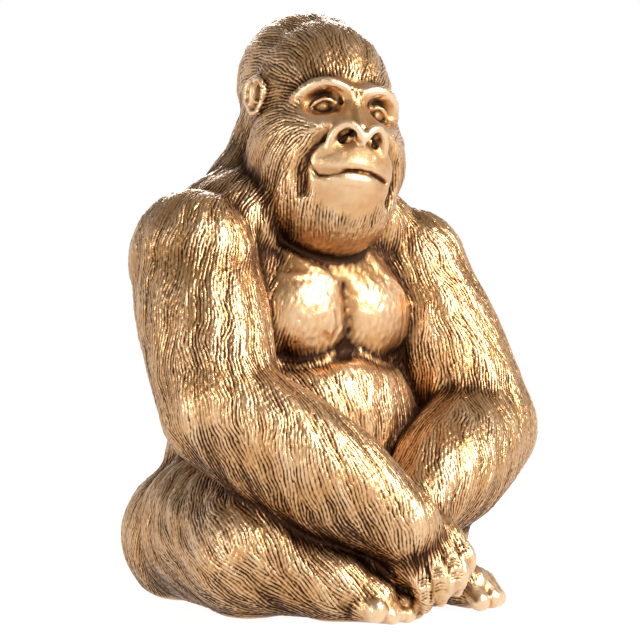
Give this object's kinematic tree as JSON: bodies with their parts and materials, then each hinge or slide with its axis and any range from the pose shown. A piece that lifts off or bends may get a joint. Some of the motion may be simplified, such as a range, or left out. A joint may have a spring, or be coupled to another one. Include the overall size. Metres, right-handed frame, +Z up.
{
  "type": "seated gorilla figurine",
  "caption": "Seated gorilla figurine with crossed arms, carved fur and a smooth face, cast in one piece with a flat base.",
  "frame": {"origin": "centre of the bounding box, on the ground under the figure", "axes": "+Z up, the chest faces -Y, the animal's left arm is on the +X side"},
  "size_m": [0.286, 0.254, 0.394],
  "materials": {
    "gold_paint": "warm gold paint with a soft shine, darker in the fur's grooves"
  },
  "bodies": {
    "root": {"figurine": "gold_paint"}
  },
  "joints": []
}
